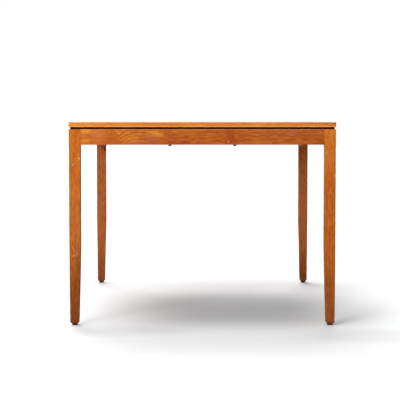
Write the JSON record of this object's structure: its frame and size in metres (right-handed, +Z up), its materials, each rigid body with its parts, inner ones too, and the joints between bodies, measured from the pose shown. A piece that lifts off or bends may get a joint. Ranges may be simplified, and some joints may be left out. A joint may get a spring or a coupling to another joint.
{
  "type": "parsons dining table",
  "caption": "Rectangular wooden dining table: thin lipped top over a shadow gap, aprons flush with square legs that taper below to round glides.",
  "frame": {"origin": "on the floor under the middle of the table", "axes": "+Z up, +Y along the table's length away from its front end, +X to the right seen from the front end"},
  "size_m": [0.965, 1.524, 0.737],
  "materials": {
    "top_veneer": "warm cherry-toned veneer under a satin lacquer",
    "solid_wood": "stained and satin-lacquered hardwood, fine grain",
    "core_board": "bare particleboard core",
    "spacer_strip": "black-brown stained strip, matt",
    "frame_timber": "planed pale hardwood, unfinished",
    "zinc_steel": "bright zinc-plated steel",
    "black_steel": "black oxide steel",
    "insert_alloy": "yellow-passivated zinc alloy",
    "glide_plastic": "dark brown moulded nylon"
  },
  "bodies": {
    "root": {"corner_block_back_left": "frame_timber", "corner_block_back_right": "frame_timber", "corner_block_front_left": "frame_timber", "corner_block_front_right": "frame_timber", "cross_rail_back": "frame_timber", "cross_rail_front": "frame_timber", "cross_rail_screws": "zinc_steel", "end_apron_back": "solid_wood", "end_apron_front": "solid_wood", "end_bolt_inserts": "insert_alloy", "end_bolt_spring_washers": "black_steel", "end_bolt_washers": "black_steel", "end_top_bolts": "black_steel", "glide_back_left": "glide_plastic", "glide_back_right": "glide_plastic", "glide_front_left": "glide_plastic", "glide_front_right": "glide_plastic", "glide_nails": "zinc_steel", "hanger_bolt_nuts": "zinc_steel", "hanger_bolt_washers": "zinc_steel", "hanger_bolts": "zinc_steel", "leg_back_left": "solid_wood", "leg_back_right": "solid_wood", "leg_front_left": "solid_wood", "leg_front_right": "solid_wood", "side_apron_left": "solid_wood", "side_apron_right": "solid_wood", "side_bolt_inserts": "insert_alloy", "side_bolt_spring_washers": "black_steel", "side_bolt_washers": "black_steel", "side_top_bolts": "black_steel", "spacer_back": "spacer_strip", "spacer_front": "spacer_strip", "spacer_left": "spacer_strip", "spacer_right": "spacer_strip", "top_backing_veneer": "top_veneer", "top_core": "core_board", "top_face_veneer": "top_veneer", "top_lipping_back": "solid_wood", "top_lipping_front": "solid_wood", "top_lipping_left": "solid_wood", "top_lipping_right": "solid_wood"}
  },
  "joints": []
}
